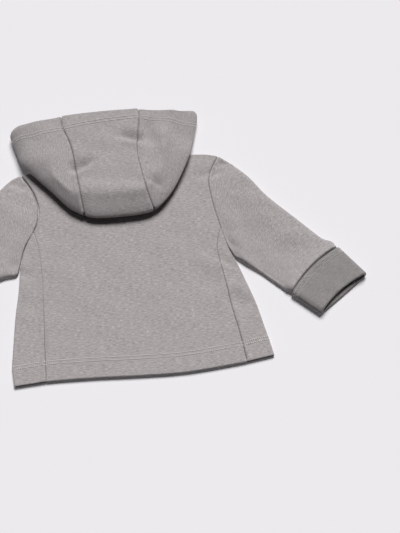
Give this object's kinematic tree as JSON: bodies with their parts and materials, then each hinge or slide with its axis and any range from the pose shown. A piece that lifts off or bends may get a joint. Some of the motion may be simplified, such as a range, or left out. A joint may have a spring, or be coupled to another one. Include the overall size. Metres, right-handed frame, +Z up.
{
  "type": "toddler hoodie",
  "caption": "Toddler pullover hoodie in sweatshirt knit, laid face down with the hood turned back and the cuffs rolled out.",
  "frame": {"origin": "on the surface that the garment lies on, under the middle of the body, on its centre line", "axes": "+X towards the wearer's right sleeve, +Y from the hem to the neck, +Z up, out of the garment's back"},
  "size_m": [0.6497, 0.4033, 0.0334],
  "materials": {
    "melange_knit": "matt brushed sweatshirt knit in grey melange yarn, right side",
    "melange_knit_inside": "matt wrong side of the same knit, a little darker"
  },
  "bodies": {
    "root": {"back": "melange_knit", "front": "melange_knit", "side_left": "melange_knit", "side_right": "melange_knit", "sleeve_left": "melange_knit", "sleeve_right": "melange_knit", "cuff_left": "melange_knit_inside", "cuff_right": "melange_knit_inside", "hood_centre": "melange_knit", "hood_side_left": "melange_knit", "hood_side_right": "melange_knit"}
  },
  "joints": []
}
